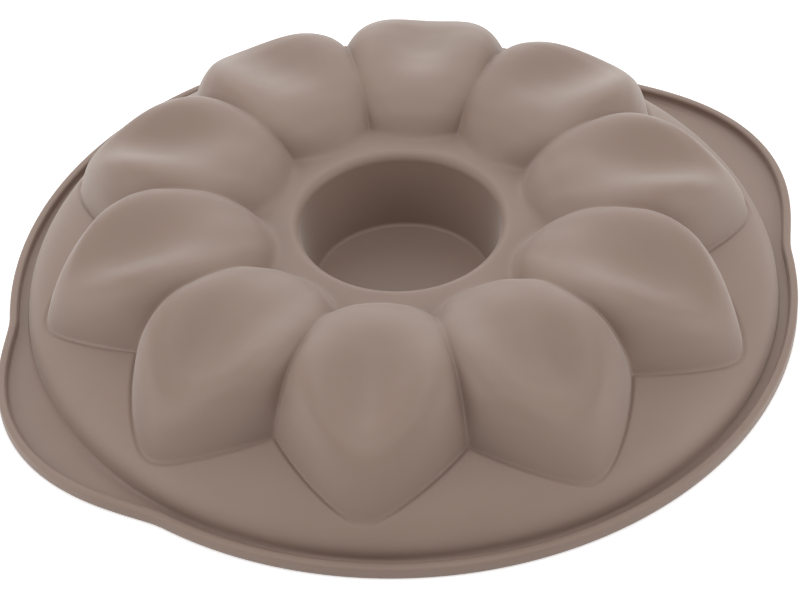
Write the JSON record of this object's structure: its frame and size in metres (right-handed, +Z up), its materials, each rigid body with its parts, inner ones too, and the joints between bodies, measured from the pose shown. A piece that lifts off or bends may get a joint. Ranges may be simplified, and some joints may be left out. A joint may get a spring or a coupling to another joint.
{
  "type": "silicone mousse mould",
  "caption": "Flexible silicone ring mould shaped as a flower of dished petals round a blind central well, with a flat flange, a beaded edge, two finger tabs and a stiffening hoop in the rim.",
  "frame": {"origin": "on the mould's axis, in the plane of the rim's underside that it stands on", "axes": "+Z up out of the petals, away from the cavity's mouth; +X through the middle of one finger tab; +Y through the spine of a petal"},
  "size_m": [0.294, 0.27, 0.0465],
  "materials": {
    "silicone": "satin",
    "hoop": "satin"
  },
  "bodies": {
    "root": {"mould_body": "silicone", "rim_hoop": "hoop"}
  },
  "joints": []
}
